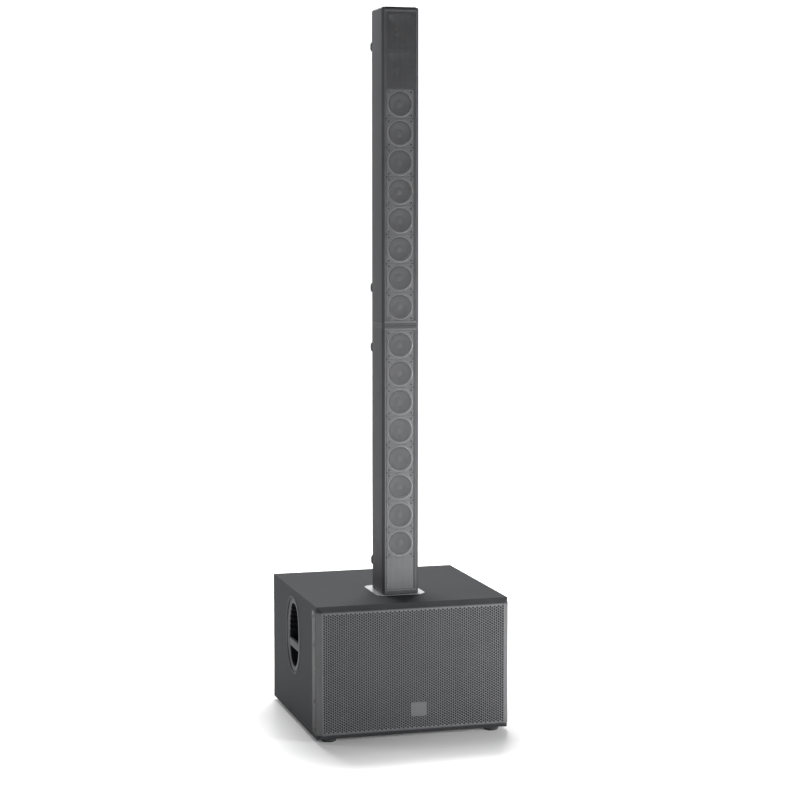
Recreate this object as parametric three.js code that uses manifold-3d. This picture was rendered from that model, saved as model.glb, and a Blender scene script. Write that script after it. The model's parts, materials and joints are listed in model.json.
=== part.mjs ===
// Column PA system: a wide subwoofer cabinet that carries two stacked line-array columns.
// Millimetres, +Z up, front towards -Y, origin on the floor under the middle of the cabinet.
import * as THREE from 'three';
import { mergeVertices } from 'three/addons/utils/BufferGeometryUtils.js';
import Module from 'manifold-3d';

const wasm = await Module();
wasm.setup();

// ---- driving dimensions ----------------------------------------------------------------------

// Subwoofer cabinet, over its grille and handle flanges
const WIDTH = 650;
const DEPTH = 650;
const CABINET_TOP = 446;
const FOOT_HEIGHT = 12;
const FOOT_RADIUS = 26;
const FOOT_INSET = 48;
const WALL = 18;
const EDGE_CHAMFER = 16;
const GRILLE_SHEET = 1.5;
const BADGE = { width: 54, height: 46, thickness: 1, x: 14, z: 96 };
const GAP = 0.3;

// Subwoofer drivers and reflex port
const SUB_FRAME_RADIUS = 152;
const SUB_SPACING = 2 * SUB_FRAME_RADIUS + 1;
const SUB_CENTRE_Z = 270;
const BAFFLE_FRONT = -300;
const BAFFLE_BOTTOM = 93;
const PORT_SHELF_DEPTH = 300;

// Side handles: centre, outline half-axes, pocket half-axes, height of the grip bar
const HANDLE = {
  y: 24, z: 290, halfWidth: 100, halfHeight: 131,
  pocketHalfWidth: 58, pocketHalfHeight: 104, pocketDepth: 60, dishDepth: 7,
  barBottom: 243, barTop: 268,
};

// Amplifier panel, recessed in the rear wall
const AMP = { halfWidth: 200, bottom: 64, top: 394, plate: 3, depthInRear: 15.3, ledge: 15 };
const CONTROL_ROW_Z = 345;
const POWER_ROW_Z = 110;
const HEAT_SINK = { left: -60, bottom: 86, top: 290, fins: 20, pitch: 12, fin: 2.5, base: 3 };
const BOARD = { left: -60, right: 170, bottom: 89, top: 285, thickness: 2, standOff: 18 };

// Columns
const COLUMN_HALF_WIDTH = 62;
const COLUMN_FRONT = -160;
const COLUMN_REAR = -26;
const COLUMN_EDGE = 8;
const COLUMN_WALL = 3;
const COLUMN_BOTTOM = 448;
const LOWER_HEIGHT = 888;
const UPPER_HEIGHT = 1031;
const CAP = 9;
const TOP_CAP = 10.5;
const COLUMN_SHEET = 1.2;

// Column drivers: 94 mm square frames, edge to edge
const DRIVER_PITCH = 94;
const DRIVERS_PER_COLUMN = 8;
const LOWER_FIRST_DRIVER = 615 - COLUMN_BOTTOM;
const UPPER_FIRST_DRIVER = 1398 - COLUMN_BOTTOM - LOWER_HEIGHT;
const FRAME_FRONT = -152;
const FRAME_THICKNESS = 3.5;
const FRAME_OPENING = 37.5;
const HORN_HEIGHT = 122;

// Multi-pin plug under each column, and the well that it stands in
const PLUG = { halfX: 29, halfY: 11, depth: 28, y: -64 };
const WELL = { halfX: 31, halfY: 13, depth: 31, wall: 2.5 };
const DOCKING_PLATE = { halfX: 84, halfY: 95.5, corner: 28, y: -83.5 };

const REAR = DEPTH / 2;
const HALF_WIDTH = WIDTH / 2;
const CABINET_HALF_WIDTH = HALF_WIDTH - GRILLE_SHEET;
const GRILLE_FRONT = -DEPTH / 2 + BADGE.thickness;
const CABINET_FRONT = GRILLE_FRONT + GRILLE_SHEET;
const PANEL_OUTER = REAR - AMP.depthInRear;
const PANEL_INNER = PANEL_OUTER - AMP.plate;

// ---- materials -------------------------------------------------------------------------------

const finish = (color, roughness, metalness) =>
  new THREE.MeshStandardMaterial({ color, roughness, metalness });

const MATERIALS = {
  cabinetPaint: finish('#303133', 0.8, 0.0),
  plywood: finish('#6b5236', 0.8, 0.0),
  grilleSteel: finish('#454648', 0.55, 0.4),
  columnCoat: finish('#4b4c4e', 0.6, 0.3),
  moulding: finish('#2a2a2c', 0.6, 0.0),
  castFrame: finish('#8e9092', 0.45, 0.5),
  cone: finish('#1d1d1f', 0.85, 0.0),
  panelSteel: finish('#242526', 0.55, 0.4),
  aluminium: finish('#b9bbbd', 0.35, 0.9),
  rubber: finish('#151515', 0.9, 0.0),
  circuit: finish('#1f5a35', 0.5, 0.1),
};

// ---- solids ----------------------------------------------------------------------------------

// A closed geometry becomes a manifold solid with its faces pointing out.
function solid(geometry) {
  const bare = geometry.clone();
  bare.deleteAttribute('normal');
  bare.deleteAttribute('uv');
  const merged = mergeVertices(bare, 1e-4);
  const triVerts = new Uint32Array(merged.index.array);
  const positions = merged.attributes.position.array;
  if (signedVolume(positions, triVerts) < 0) triVerts.reverse();
  const mesh = new wasm.Mesh({ numProp: 3, vertProperties: new Float32Array(positions), triVerts });
  mesh.merge();
  return new wasm.Manifold(mesh);
}

function signedVolume(positions, triangles) {
  const corner = (index) => new THREE.Vector3().fromArray(positions, 3 * index);
  let volume = 0;
  for (let i = 0; i < triangles.length; i += 3) {
    const [a, b, c] = [0, 1, 2].map((k) => corner(triangles[i + k]));
    volume += a.dot(b.cross(c)) / 6;
  }
  return volume;
}

function geometryOf(manifold) {
  const mesh = manifold.getMesh();
  const geometry = new THREE.BufferGeometry();
  geometry.setAttribute('position', new THREE.BufferAttribute(mesh.vertProperties, 3));
  geometry.setIndex(new THREE.BufferAttribute(mesh.triVerts, 1));
  geometry.computeVertexNormals();
  return geometry;
}

function box([x0, x1], [y0, y1], [z0, z1]) {
  const geometry = new THREE.BoxGeometry(x1 - x0, y1 - y0, z1 - z0);
  return solid(geometry.translate((x0 + x1) / 2, (y0 + y1) / 2, (z0 + z1) / 2));
}

function polygon(points) {
  return new THREE.Shape(points.map(([a, b]) => new THREE.Vector2(a, b)));
}

function extrudeZ(shape, [z0, z1], options = {}) {
  const settings = { depth: z1 - z0, bevelEnabled: false, curveSegments: 4, ...options };
  return solid(new THREE.ExtrudeGeometry(shape, settings).translate(0, 0, z0));
}

// A shape drawn in (y, z), extruded along X.
function extrudeX(shape, [x0, x1], curveSegments = 4) {
  const settings = { depth: x1 - x0, bevelEnabled: false, curveSegments };
  const geometry = new THREE.ExtrudeGeometry(shape, settings);
  const axes = [new THREE.Vector3(0, 1, 0), new THREE.Vector3(0, 0, 1), new THREE.Vector3(1, 0, 0)];
  const turn = new THREE.Matrix4().makeBasis(...axes);
  return solid(geometry.applyMatrix4(turn).translate(x0, 0, 0));
}

// A profile of (radius, y) points turned about the Y axis.
function turned(profile, segments) {
  const points = profile.map(([radius, y]) => new THREE.Vector2(radius, y));
  return solid(new THREE.LatheGeometry(points, segments));
}

function rodY(radius, [y0, y1], segments, x = 0, z = 0) {
  const geometry = new THREE.CylinderGeometry(radius, radius, y1 - y0, segments);
  return solid(geometry.translate(x, (y0 + y1) / 2, z));
}

function roundedRectangle(halfX, halfY, radius) {
  const shape = new THREE.Shape();
  const corner = (x, y, quarter) => {
    const start = quarter * Math.PI / 2;
    shape.absarc(x, y, radius, start, start + Math.PI / 2, false);
  };
  corner(halfX - radius, halfY - radius, 0);
  corner(radius - halfX, halfY - radius, 1);
  corner(radius - halfX, radius - halfY, 2);
  corner(halfX - radius, radius - halfY, 3);
  return shape;
}

function ellipse(centreA, centreB, halfA, halfB) {
  const shape = new THREE.Shape();
  shape.absellipse(centreA, centreB, halfA, halfB, 0, 2 * Math.PI, false, 0);
  return shape;
}

// ---- assembly --------------------------------------------------------------------------------

function place(group, name, shape, material, x = 0, y = 0, z = 0) {
  const mesh = new THREE.Mesh(geometryOf(shape), MATERIALS[material]);
  mesh.name = name;
  mesh.position.set(x, y, z);
  group.add(mesh);
}

// ---- subwoofer: wooden cabinet ---------------------------------------------------------------

// Outer block with 45-degree chamfers on the four front edges.
function cabinetBlock() {
  const [w, f, r, c] = [CABINET_HALF_WIDTH, CABINET_FRONT, REAR, EDGE_CHAMFER];
  const plan = polygon([[-w, r], [-w, f + c], [c - w, f], [w - c, f], [w, f + c], [w, r]]);
  const [b, t] = [FOOT_HEIGHT, CABINET_TOP];
  const side = polygon([[r, t], [f + c, t], [f, t - c], [f, b + c], [f + c, b], [r, b]]);
  return extrudeZ(plan, [b, t]).intersect(extrudeX(side, [-w, w]));
}

// Frame of battens round the inside of the amplifier cut-out.
function ampLedge() {
  const rim = AMP.ledge;
  const depth = [PANEL_INNER - GAP - 12, REAR - WALL + 1];
  const outer = box([-AMP.halfWidth - rim, AMP.halfWidth + rim], depth, [AMP.bottom - rim, AMP.top + rim]);
  const inner = box([rim - AMP.halfWidth, AMP.halfWidth - rim], [0, REAR + 1], [AMP.bottom + rim, AMP.top - rim]);
  return outer.subtract(inner);
}

function cabinet() {
  const inside = CABINET_HALF_WIDTH - WALL;
  const hollow = box([-inside, inside], [-DEPTH, REAR - WALL], [FOOT_HEIGHT + WALL, CABINET_TOP - WALL]);
  const ampOpening = box(
    [-AMP.halfWidth, AMP.halfWidth], [PANEL_INNER - GAP, REAR + 1], [AMP.bottom, AMP.top]);
  const handleOpening = ellipse(HANDLE.y, HANDLE.z, HANDLE.halfWidth - 6, HANDLE.halfHeight - 6);
  const wellX = WELL.halfX + WELL.wall + 1;
  const wellY = WELL.halfY + WELL.wall + 1;
  const wellOpening = box(
    [-wellX, wellX], [PLUG.y - wellY, PLUG.y + wellY], [CABINET_TOP - 2 * WALL, CABINET_TOP + 1]);
  return cabinetBlock()
    .subtract(hollow)
    .add(ampLedge())
    .subtract(ampOpening)
    .subtract(extrudeX(handleOpening, [-WIDTH, WIDTH], 16))
    .subtract(wellOpening);
}

function baffle() {
  const inside = CABINET_HALF_WIDTH - WALL - GAP;
  const depth = [BAFFLE_FRONT, BAFFLE_FRONT + WALL];
  let board = box([-inside, inside], depth, [BAFFLE_BOTTOM, CABINET_TOP - WALL - GAP]);
  for (const side of [-1, 1]) {
    const hole = rodY(SUB_FRAME_RADIUS - 12, [-DEPTH, 0], 24, side * SUB_SPACING / 2, SUB_CENTRE_Z);
    board = board.subtract(hole);
  }
  return board;
}

function portShelf() {
  const inside = CABINET_HALF_WIDTH - WALL - GAP;
  const depth = [BAFFLE_FRONT, BAFFLE_FRONT + PORT_SHELF_DEPTH];
  return box([-inside, inside], depth, [BAFFLE_BOTTOM - WALL, BAFFLE_BOTTOM - GAP]);
}

// Folded perforated sheet: flat front, a bevel over each side chamfer, a flange on each side.
function subGrille() {
  const thickness = GRILLE_SHEET - 0.2;
  const flangeEnd = CABINET_FRONT + EDGE_CHAMFER + 53;
  const fold = (half, front, chamfer) => [
    [-half, flangeEnd], [-half, front + chamfer], [chamfer - half, front],
    [half - chamfer, front], [half, front + chamfer], [half, flangeEnd],
  ];
  const outer = fold(HALF_WIDTH, GRILLE_FRONT, EDGE_CHAMFER + 0.6);
  const inner = fold(HALF_WIDTH - thickness, GRILLE_FRONT + thickness, EDGE_CHAMFER - 0.1);
  const outline = polygon([...outer, ...inner.reverse()]);
  return extrudeZ(outline, [FOOT_HEIGHT + EDGE_CHAMFER, CABINET_TOP - EDGE_CHAMFER]);
}

function badge() {
  const [halfX, halfZ] = [BADGE.width / 2, BADGE.height / 2];
  const depth = [GRILLE_FRONT - BADGE.thickness, GRILLE_FRONT - 0.2];
  return box([-halfX, halfX], depth, [-halfZ, halfZ]);
}

// Moulded recess for the right-hand side; the left one is its mirror image.
function handleCup() {
  const face = HALF_WIDTH;
  const flange = ellipse(HANDLE.y, HANDLE.z, HANDLE.halfWidth, HANDLE.halfHeight);
  const throat = ellipse(HANDLE.y, HANDLE.z, HANDLE.halfWidth - 7, HANDLE.halfHeight - 7);
  const pocket = (grow) => ellipse(
    HANDLE.y, HANDLE.z, HANDLE.pocketHalfWidth + grow, HANDLE.pocketHalfHeight + grow);
  const floor = face - HANDLE.pocketDepth;
  const bar = box([floor, face], [-100, 150], [HANDLE.barBottom, HANDLE.barTop]);
  const dish = new THREE.CylinderGeometry(1, 0.86, HANDLE.dishDepth + 1, 32);
  dish.rotateZ(-Math.PI / 2).scale(1, HANDLE.halfWidth - 10, HANDLE.halfHeight - 10);
  dish.translate(face - HANDLE.dishDepth / 2 + 0.5, HANDLE.y, HANDLE.z);
  return extrudeX(flange, [CABINET_HALF_WIDTH + 0.2, face], 8)
    .add(extrudeX(throat, [face - 14, face - 0.5], 8))
    .add(extrudeX(pocket(4), [floor - 3, face - 5], 8))
    .subtract(solid(dish))
    .subtract(extrudeX(pocket(0), [floor, face + 1], 8).subtract(bar));
}

// ---- subwoofer: drivers ----------------------------------------------------------------------

// Basket and motor as one turned body: flange, conical basket, magnet at the back.
function subWoofer() {
  const flangeBack = BAFFLE_FRONT - GAP;
  const flangeFront = flangeBack - 6;
  const profile = [
    [0, -150], [85, -150], [85, -186], [72, -192], [138, -284], [138, flangeBack],
    [SUB_FRAME_RADIUS, flangeBack], [SUB_FRAME_RADIUS, flangeFront],
    [131, flangeFront], [131, -284], [62, -205], [0, -205],
  ];
  return turned(profile, 24);
}

function subCone() {
  const profile = [
    [0, -268], [36, -259], [52, -250], [108, -296], [120, -304], [129.5, -298],
    [129.5, -295], [106, -290], [48, -244], [0, -244],
  ];
  return turned(profile, 24);
}

// ---- subwoofer: amplifier --------------------------------------------------------------------

const CONTROLS = {
  comboLeft: { x: 150, z: CONTROL_ROW_Z },
  comboRight: { x: 100, z: CONTROL_ROW_Z },
  link: { x: 50, z: CONTROL_ROW_Z },
  mainLevel: { x: -30, z: CONTROL_ROW_Z },
  subLevel: { x: -75, z: CONTROL_ROW_Z },
  groundLift: { x: -115, z: CONTROL_ROW_Z },
  inlet: { x: -150, z: POWER_ROW_Z },
  rocker: { x: -100, z: POWER_ROW_Z },
};

const JACK_RADIUS = 12;
const JACK_WALL = 1.5;
const TAB = { halfX: 4, halfZ: 2, above: 16 };
const ROCKER = { width: 13, depth: 12, height: 19, tiltDeg: 8 };

function ampPanel() {
  const { halfWidth, bottom, top } = AMP;
  const through = [PANEL_INNER - 1, PANEL_OUTER + 1];
  const { comboLeft, comboRight, link, mainLevel, subLevel, groundLift, inlet, rocker } = CONTROLS;
  let plate = box([GAP - halfWidth, halfWidth - GAP], [PANEL_INNER, PANEL_OUTER], [bottom + GAP, top - GAP]);
  const half = JACK_RADIUS + GAP;
  for (const { x, z } of [comboLeft, comboRight, link]) {
    plate = plate.subtract(box([x - half, x + half], through, [z - half, z + half]));
  }
  for (const jack of [comboLeft, comboRight]) {
    plate = plate.subtract(tabBlock(TAB.halfX + GAP, TAB.halfZ + GAP, through, jack));
  }
  for (const control of [mainLevel, subLevel, groundLift]) {
    plate = plate.subtract(rodY(3.5, through, 12, control.x, control.z));
  }
  return plate
    .subtract(box([inlet.x - 14, inlet.x + 14], through, [inlet.z - 10.5, inlet.z + 10.5]))
    .subtract(box([rocker.x - 7.5, rocker.x + 7.5], through, [rocker.z - 11.5, rocker.z + 11.5]));
}

function tabBlock(halfX, halfZ, depth, jack) {
  const z = jack.z + TAB.above;
  return box([jack.x - halfX, jack.x + halfX], depth, [z - halfZ, z + halfZ]);
}

// Panel socket: body behind the panel, flange in front, a round well with any contact pins.
function roundSocket(pins) {
  const flange = [PANEL_OUTER + 0.1, PANEL_OUTER + 2.1];
  const body = [PANEL_INNER - 22, PANEL_OUTER + 1];
  const wellFloor = PANEL_INNER - 18;
  let socket = box([-13, 13], flange, [-15, 13.5])
    .add(rodY(JACK_RADIUS, body, 20))
    .subtract(rodY(JACK_RADIUS - JACK_WALL, [wellFloor, PANEL_OUTER + 5], 20));
  for (let i = 0; i < pins; i++) {
    const angle = (2 * Math.PI * i) / pins;
    const [x, z] = [4.5 * Math.sin(angle), 4.5 * Math.cos(angle)];
    socket = socket.add(rodY(1.2, [wellFloor - 1, PANEL_OUTER - 6], 6, x, z));
  }
  return socket;
}

// Mains inlet: rectangular flange and body, recess with three blades.
function mainsInlet() {
  const flange = [PANEL_OUTER + 0.1, PANEL_OUTER + 2.1];
  const recessFloor = PANEL_INNER - 14;
  let inlet = box([-24, 24], flange, [-12, 12])
    .add(box([-13.5, 13.5], [recessFloor - 4, PANEL_OUTER + 1], [-10, 10]))
    .subtract(box([-11.5, 11.5], [recessFloor, PANEL_OUTER + 5], [-8, 8]));
  for (const [x, z] of [[-7, -2], [0, 2], [7, -2]]) {
    inlet = inlet.add(box([x - 1, x + 1], [recessFloor - 1, PANEL_OUTER - 7], [z - 2.5, z + 2.5]));
  }
  return inlet;
}

// Knob on a short spindle, with a pointer on its face.
function levelKnob() {
  const [back, front] = [PANEL_OUTER + 0.8, REAR - 1.5];
  const pointer = box([-1, 1], [front - 1, front + 0.8], [1, 9]);
  return turned([[0, back], [10.5, back], [9.5, front - 1.5], [8.5, front], [0, front]], 16)
    .add(rodY(3, [PANEL_INNER - 8, back + 1], 10))
    .add(pointer);
}

function groundLiftButton() {
  return rodY(3, [PANEL_INNER - 6, PANEL_OUTER + 4], 12);
}

function releaseTab() {
  const depth = [PANEL_INNER - 6, PANEL_OUTER + 3.5];
  return box([-TAB.halfX, TAB.halfX], depth, [-TAB.halfZ, TAB.halfZ]);
}

// Rocker drawn about its pivot, tipped into its off position.
function powerRocker() {
  const { width, depth, height, tiltDeg } = ROCKER;
  const block = new THREE.BoxGeometry(width, depth, height);
  return solid(block.rotateX(THREE.MathUtils.degToRad(-tiltDeg)));
}

// Finned extrusion on the panel's outer face.
function heatSink() {
  const [root, tip] = [PANEL_OUTER + 0.2, REAR - 1.5];
  const { left, bottom, top, fins, pitch, fin, base } = HEAT_SINK;
  const outline = [[left, root], [left, tip]];
  for (let i = 0; i < fins; i++) {
    const x = left + i * pitch;
    outline.push([x + fin, tip], [x + fin, root + base]);
    if (i < fins - 1) outline.push([x + pitch, root + base], [x + pitch, tip]);
  }
  outline.push([left + (fins - 1) * pitch + fin, root]);
  return extrudeZ(polygon(outline.reverse()), [bottom, top]);
}

// Amplifier and power supply board on stand-offs, with its large components.
function circuitBoard() {
  const { left, right, bottom, top, thickness, standOff } = BOARD;
  const inset = 8;
  const back = PANEL_INNER - 0.2;
  const rear = back - standOff;
  const front = rear - thickness;
  let circuit = box([left, right], [front, rear], [bottom, top]);
  for (const x of [left + inset, right - inset]) {
    for (const z of [bottom + inset, top - inset]) {
      circuit = circuit.add(rodY(3, [rear - 1, back], 8, x, z));
    }
  }
  const transformer = rodY(45, [front - 32, front + 0.5], 20, 110, 150);
  const capacitors = [-30, 5, 40].map((x) => rodY(13, [front - 40, front + 0.5], 12, x, 130));
  const cooler = box([-45, 75], [front - 30, front + 0.5], [210, 222]);
  return [transformer, ...capacitors, cooler].reduce((whole, part) => whole.add(part), circuit);
}

// ---- subwoofer: docking point and feet -------------------------------------------------------

function dockingPlate() {
  const { halfX, halfY, corner, y } = DOCKING_PLATE;
  const outline = roundedRectangle(halfX, halfY, corner);
  const plate = extrudeZ(outline, [CABINET_TOP + 0.1, COLUMN_BOTTOM - GAP]).translate([0, y, 0]);
  return plate.subtract(wellBlock(WELL.wall + 0.6, [0, DEPTH]));
}

function wellBlock(grow, height) {
  const [x, y] = [WELL.halfX + grow, WELL.halfY + grow];
  return box([-x, x], [PLUG.y - y, PLUG.y + y], height);
}

// Deep well for the plug, with a fixing flange under the top panel.
function dockingSocket() {
  const rim = COLUMN_BOTTOM - 0.5;
  const floor = rim - WELL.depth;
  const under = CABINET_TOP - WALL - GAP;
  return wellBlock(WELL.wall, [floor - 3, rim])
    .add(wellBlock(WELL.wall + 14, [under - 4, under]))
    .subtract(wellBlock(0, [floor, rim + 1]));
}

function foot() {
  const cone = new THREE.CylinderGeometry(FOOT_RADIUS, FOOT_RADIUS - 3, FOOT_HEIGHT - 0.2, 20);
  return solid(cone.rotateX(Math.PI / 2).translate(0, 0, (FOOT_HEIGHT - 0.2) / 2));
}

// ---- columns ---------------------------------------------------------------------------------

// Outline shared by the housing and the caps: front edges chamfered, rear edges rounded.
function columnOutline() {
  const [w, f, r, c] = [COLUMN_HALF_WIDTH, COLUMN_FRONT, COLUMN_REAR, COLUMN_EDGE];
  const shape = new THREE.Shape();
  shape.moveTo(c - w, f);
  shape.lineTo(w - c, f);
  shape.lineTo(w, f + c);
  shape.absarc(w - c, r - c, c, 0, Math.PI / 2, false);
  shape.absarc(c - w, r - c, c, Math.PI / 2, Math.PI, false);
  shape.lineTo(-w, f + c);
  return shape;
}

// Extruded aluminium channel with two rails that the driver frames are screwed to.
function columnHousing(height) {
  const inner = COLUMN_HALF_WIDTH - COLUMN_WALL;
  const back = COLUMN_REAR - COLUMN_WALL;
  const lip = COLUMN_HALF_WIDTH - COLUMN_EDGE;
  const railFront = FRAME_FRONT + FRAME_THICKNESS + GAP;
  const span = [CAP + 0.2, height];
  const mouth = polygon([
    [-lip, COLUMN_FRONT - 1], [lip, COLUMN_FRONT - 1], [lip, COLUMN_FRONT + 4],
    [inner, COLUMN_FRONT + 9], [inner, back - 5], [inner - 5, back],
    [5 - inner, back], [-inner, back - 5], [-inner, COLUMN_FRONT + 9], [-lip, COLUMN_FRONT + 4],
  ]);
  let channel = extrudeZ(columnOutline(), span).subtract(extrudeZ(mouth, [0, height + 1]));
  for (const side of [-1, 1]) {
    const reach = [side * (inner + 1), side * 40].sort((a, b) => a - b);
    channel = channel.add(box(reach, [railFront, railFront + 3], span));
  }
  return channel;
}

function columnGrille(height) {
  const half = COLUMN_HALF_WIDTH - COLUMN_EDGE - 0.2;
  return box([-half, half], [COLUMN_FRONT, COLUMN_FRONT + COLUMN_SHEET], [CAP + 0.2, height]);
}

// Eight baskets with their magnets, their square frames standing edge to edge.
function wooferBank() {
  const half = DRIVER_PITCH / 2;
  const back = FRAME_FRONT + FRAME_THICKNESS;
  const top = (DRIVERS_PER_COLUMN - 0.5) * DRIVER_PITCH;
  let bank = box([-half, half], [FRAME_FRONT, back], [-half, top]);
  const [outer, inner] = [FRAME_OPENING + 1, FRAME_OPENING - 1];
  const basket = behindFrame([
    [0, 49], [28, 49], [28, 31], [outer, 9], [outer, 0.5], [inner, 0.5], [inner, 11], [24, 29], [0, 29],
  ]);
  for (let i = 0; i < DRIVERS_PER_COLUMN; i++) {
    const z = i * DRIVER_PITCH;
    bank = bank
      .subtract(rodY(FRAME_OPENING, [-DEPTH, 0], 12, 0, z))
      .add(basket.translate([0, 0, z]));
  }
  return bank;
}

function columnCone() {
  return behindFrame([[0, 11], [12, 14], [31, -1], [35.8, 1], [35.8, 3.5], [12, 18], [0, 18]]);
}

// A profile of (radius, depth behind the frames' front), turned.
function behindFrame(profile) {
  return turned(profile.map(([radius, depth]) => [radius, FRAME_FRONT + depth]), 12);
}

// Waveguide block with a flared mouth and its compression driver behind.
function tweeterHorn() {
  const [halfX, halfZ] = [DRIVER_PITCH / 2, HORN_HEIGHT / 2 - 0.2];
  const depth = 34;
  const flare = new THREE.CylinderGeometry(13, 56, depth, 4);
  flare.rotateY(Math.PI / 4).scale(1, 1, 1.3).translate(0, FRAME_FRONT + depth / 2 - 1, 0);
  return box([-halfX, halfX], [FRAME_FRONT, FRAME_FRONT + FRAME_THICKNESS], [-halfZ, halfZ])
    .add(box([-39, 39], [FRAME_FRONT + 1, FRAME_FRONT + depth], [-54, 54]))
    .add(rodY(27, [FRAME_FRONT + depth - 1, FRAME_FRONT + depth + 26], 16))
    .subtract(solid(flare));
}

function bottomCap() {
  const hole = box([-PLUG.halfX - GAP, PLUG.halfX + GAP],
    [PLUG.y - PLUG.halfY - GAP, PLUG.y + PLUG.halfY + GAP], [-1, CAP + 1]);
  return extrudeZ(columnOutline(), [0, CAP]).subtract(hole);
}

// Top cap of the lower column, with the well that takes the upper column's plug.
function socketCap() {
  const rim = CAP - GAP;
  return extrudeZ(columnOutline(), [0.2, rim])
    .add(wellBlock(WELL.wall, [rim - WELL.depth - 3, rim - 1]))
    .subtract(wellBlock(0, [rim - WELL.depth, rim + 1]));
}

// Closed end cap with rounded upper edges.
function roundedCap() {
  const bevel = 7;
  const options = {
    bevelEnabled: true, bevelThickness: bevel, bevelSize: bevel, bevelOffset: -bevel, bevelSegments: 3,
  };
  const block = extrudeZ(columnOutline(), [-bevel, TOP_CAP - bevel], options);
  return block.subtract(box([-100, 100], [-200, 0], [-50, 0.2]));
}

function plug() {
  const [x, y] = [PLUG.halfX, PLUG.halfY];
  return box([-x, x], [PLUG.y - y, PLUG.y + y], [-PLUG.depth, CAP + 4])
    .add(box([-x - 8, x + 8], [PLUG.y - y - 6, PLUG.y + y + 6], [CAP + 0.2, CAP + 4]));
}

// Parts that both columns share; z runs up from the column's underside.
function addColumn(prefix, height, topCap, firstDriver) {
  const group = new THREE.Group();
  const tubeTop = height - topCap;
  place(group, `${prefix}_housing`, columnHousing(tubeTop), 'columnCoat');
  place(group, `${prefix}_grille`, columnGrille(tubeTop), 'grilleSteel');
  place(group, `${prefix}_bottom_cap`, bottomCap(), 'moulding');
  place(group, `${prefix}_plug`, plug(), 'moulding');
  place(group, `${prefix}_woofer_frames`, wooferBank(), 'castFrame', 0, 0, firstDriver);
  const cone = columnCone();
  for (let i = 0; i < DRIVERS_PER_COLUMN; i++) {
    place(group, `${prefix}_cone_${i + 1}`, cone, 'cone', 0, 0, firstDriver + i * DRIVER_PITCH);
  }
  return group;
}

// ---- the whole system ------------------------------------------------------------------------

function subwoofer() {
  const group = new THREE.Group();
  place(group, 'sub_cabinet', cabinet(), 'cabinetPaint');
  place(group, 'sub_baffle', baffle(), 'plywood');
  place(group, 'port_shelf', portShelf(), 'plywood');
  place(group, 'sub_grille', subGrille(), 'grilleSteel');
  place(group, 'badge', badge(), 'aluminium', BADGE.x, 0, BADGE.z);
  place(group, 'docking_plate', dockingPlate(), 'aluminium');
  place(group, 'docking_socket', dockingSocket(), 'moulding');
  const cup = handleCup();
  place(group, 'handle_right', cup, 'moulding');
  place(group, 'handle_left', cup.mirror([1, 0, 0]), 'moulding');
  const [frame, cone, rubberFoot] = [subWoofer(), subCone(), foot()];
  for (const [side, label] of [[-1, 'left'], [1, 'right']]) {
    const x = side * SUB_SPACING / 2;
    place(group, `sub_woofer_${label}`, frame, 'castFrame', x, 0, SUB_CENTRE_Z);
    place(group, `sub_cone_${label}`, cone, 'cone', x, 0, SUB_CENTRE_Z);
    for (const [end, where] of [[-1, 'front'], [1, 'rear']]) {
      const [fx, fy] = [side * (HALF_WIDTH - FOOT_INSET), end * (DEPTH / 2 - FOOT_INSET)];
      place(group, `foot_${where}_${label}`, rubberFoot, 'rubber', fx, fy, 0);
    }
  }
  return group;
}

function amplifier() {
  const group = new THREE.Group();
  const at = (name, shape, material, { x, z }) => place(group, name, shape, material, x, 0, z);
  place(group, 'amp_panel', ampPanel(), 'panelSteel');
  place(group, 'heat_sink', heatSink(), 'panelSteel');
  place(group, 'circuit_board', circuitBoard(), 'circuit');
  at('input_jack_left', roundSocket(0), 'moulding', CONTROLS.comboLeft);
  at('input_jack_right', roundSocket(0), 'moulding', CONTROLS.comboRight);
  at('link_socket', roundSocket(3), 'moulding', CONTROLS.link);
  at('mains_inlet', mainsInlet(), 'moulding', CONTROLS.inlet);
  at('main_level_knob', levelKnob(), 'moulding', CONTROLS.mainLevel);
  at('sub_level_knob', levelKnob(), 'moulding', CONTROLS.subLevel);
  at('ground_lift_button', groundLiftButton(), 'moulding', CONTROLS.groundLift);
  for (const [label, jack] of [['left', CONTROLS.comboLeft], ['right', CONTROLS.comboRight]]) {
    place(group, `jack_release_${label}`, releaseTab(), 'moulding', jack.x, 0, jack.z + TAB.above);
  }
  const { x, z } = CONTROLS.rocker;
  place(group, 'power_rocker', powerRocker(), 'moulding', x, PANEL_OUTER - 1, z);
  return group;
}

function lowerColumn() {
  const group = addColumn('lower', LOWER_HEIGHT, CAP, LOWER_FIRST_DRIVER);
  place(group, 'lower_top_cap', socketCap(), 'moulding', 0, 0, LOWER_HEIGHT - CAP);
  group.position.z = COLUMN_BOTTOM;
  return group;
}

function upperColumn() {
  const group = addColumn('upper', UPPER_HEIGHT, TOP_CAP, UPPER_FIRST_DRIVER);
  place(group, 'upper_top_cap', roundedCap(), 'moulding', 0, 0, UPPER_HEIGHT - TOP_CAP);
  const firstHorn = UPPER_FIRST_DRIVER + (DRIVERS_PER_COLUMN - 0.5) * DRIVER_PITCH + HORN_HEIGHT / 2;
  const horn = tweeterHorn();
  for (const i of [0, 1]) {
    place(group, `tweeter_horn_${i + 1}`, horn, 'moulding', 0, 0, firstHorn + i * HORN_HEIGHT);
  }
  group.position.z = COLUMN_BOTTOM + LOWER_HEIGHT;
  return group;
}

const columnPaSystem = new THREE.Group();
columnPaSystem.add(subwoofer(), amplifier(), lowerColumn(), upperColumn());

export default columnPaSystem;
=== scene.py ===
import json
import math

import bmesh
import bpy
from mathutils import Matrix, Vector

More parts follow.
